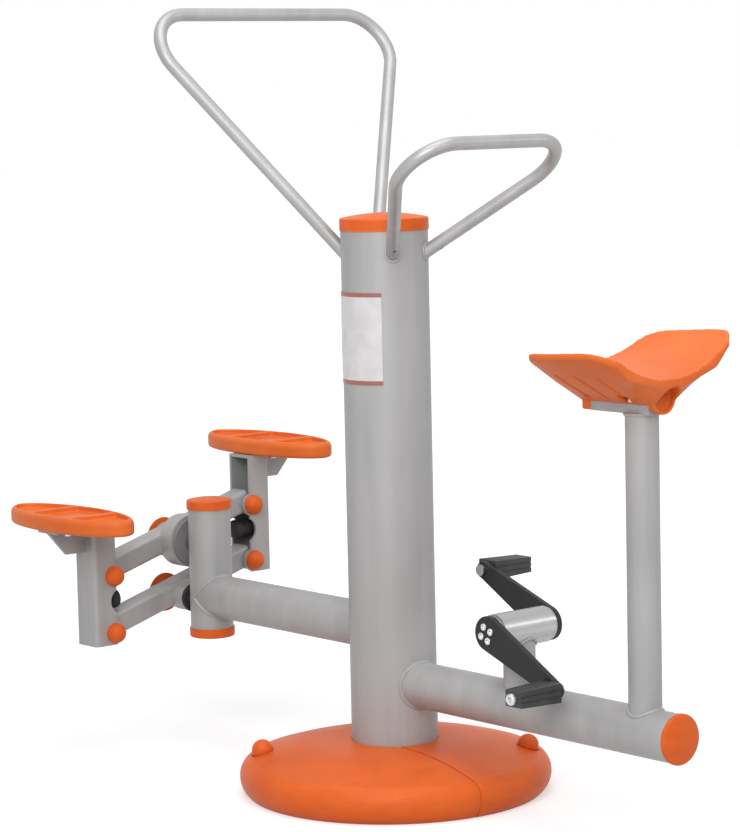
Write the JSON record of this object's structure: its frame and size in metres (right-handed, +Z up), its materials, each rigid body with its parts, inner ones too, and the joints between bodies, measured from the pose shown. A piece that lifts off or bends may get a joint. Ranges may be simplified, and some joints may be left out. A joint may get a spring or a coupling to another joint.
{
  "type": "outdoor bike and stepper station",
  "caption": "Outdoor fitness station: round post on a domed base, with a saddle and pedal cranks on one low arm, a see-saw stepper on the other and tube handles.",
  "frame": {"origin": "on the ground at the post's axis, in the underside of the base plate", "axes": "+X along the bike arm, +Z up the post, +Y to the far side, so the stepper is at -X"},
  "size_m": [1.681, 0.6702, 1.5227],
  "materials": {
    "grey_steel": "silver-grey powder coat, satin",
    "orange_plastic": "moulded, satin",
    "black_plastic": "moulded, fine grain",
    "black_rubber": "matt",
    "zinc_steel": "zinc plated",
    "turned_steel": "turned",
    "bush_bronze": "sintered",
    "white_sheet": "white coated sheet, bare"
  },
  "bodies": {
    "frame": {"base_plate": "grey_steel", "base_gussets": "grey_steel", "cover_pillars": "grey_steel", "cover_near_half": "orange_plastic", "cover_far_half": "orange_plastic", "cover_bolts": "zinc_steel", "cover_bolt_caps": "orange_plastic", "main_post": "grey_steel", "post_cap": "orange_plastic", "info_plate": "white_sheet", "stepper_handle": "grey_steel", "bike_handle": "grey_steel", "stepper_arm": "grey_steel", "pivot_column": "grey_steel", "column_caps": "orange_plastic", "upper_pivot_shaft": "turned_steel", "lower_pivot_shaft": "turned_steel", "upper_pivot_shield": "grey_steel", "lower_pivot_seal": "black_rubber", "pivot_washers": "zinc_steel", "pivot_nuts": "zinc_steel", "pivot_caps": "orange_plastic", "bike_arm": "grey_steel", "bike_arm_cap": "orange_plastic", "crank_bracket": "grey_steel", "crank_shell": "grey_steel", "crank_bearings": "turned_steel", "seat_post": "grey_steel", "seat_mount": "grey_steel", "saddle": "orange_plastic", "saddle_bolt": "zinc_steel"},
    "upper_beam": {"upper_beam": "grey_steel", "upper_beam_bearings": "turned_steel", "upper_beam_bushes": "bush_bronze"},
    "lower_beam": {"lower_beam": "grey_steel", "lower_beam_bushes": "bush_bronze"},
    "crank": {"crank_axle": "turned_steel", "near_crank": "black_plastic", "far_crank": "black_plastic", "crank_screws": "zinc_steel", "pedal_axles": "turned_steel", "pedal_nuts": "zinc_steel"},
    "near_pedal": {"near_pedal": "black_plastic"},
    "far_pedal": {"far_pedal": "black_plastic"},
    "near_foot": {"near_foot_channel": "grey_steel", "near_foot_carrier": "grey_steel", "near_foot_gusset": "grey_steel", "near_footplate": "orange_plastic", "near_footplate_screws": "zinc_steel", "near_foot_bolts": "zinc_steel", "near_foot_caps": "orange_plastic", "near_buffer": "black_rubber"},
    "far_foot": {"far_foot_channel": "grey_steel", "far_foot_carrier": "grey_steel", "far_foot_gusset": "grey_steel", "far_footplate": "orange_plastic", "far_footplate_screws": "zinc_steel", "far_foot_bolts": "zinc_steel", "far_foot_caps": "orange_plastic", "far_buffer": "black_rubber"}
  },
  "joints": [
    {"name": "upper_beam_rock", "type": "hinge", "parent": "frame", "child": "upper_beam", "pos_m": [-0.708, 0, 0.422], "axis": [1, 0, 0], "range_deg": [-33, 0]},
    {"name": "lower_beam_rock", "type": "hinge", "parent": "frame", "child": "lower_beam", "pos_m": [-0.708, 0, 0.302], "axis": [1, 0, 0], "range_deg": [-33, 0]},
    {"name": "near_foot_swing", "type": "hinge", "parent": "upper_beam", "child": "near_foot", "pos_m": [-0.708, -0.18409, 0.36747], "axis": [1, 0, 0], "range_deg": [0, 33]},
    {"name": "far_foot_swing", "type": "hinge", "parent": "upper_beam", "child": "far_foot", "pos_m": [-0.708, 0.18409, 0.47653], "axis": [1, 0, 0], "range_deg": [0, 33]},
    {"name": "crank_spin", "type": "hinge", "parent": "frame", "child": "crank", "pos_m": [0.36, 0, 0.363], "axis": [0, 1, 0], "continuous": true},
    {"name": "near_pedal_spin", "type": "hinge", "parent": "crank", "child": "near_pedal", "pos_m": [0.53401, 0, 0.28186], "axis": [0, 1, 0], "continuous": true},
    {"name": "far_pedal_spin", "type": "hinge", "parent": "crank", "child": "far_pedal", "pos_m": [0.18599, 0, 0.44414], "axis": [0, 1, 0], "continuous": true}
  ],
  "couplings": [
    {"joint": "lower_beam_rock", "follows": "upper_beam_rock", "ratio": 1},
    {"joint": "near_foot_swing", "follows": "upper_beam_rock", "ratio": -1},
    {"joint": "far_foot_swing", "follows": "upper_beam_rock", "ratio": -1}
  ]
}
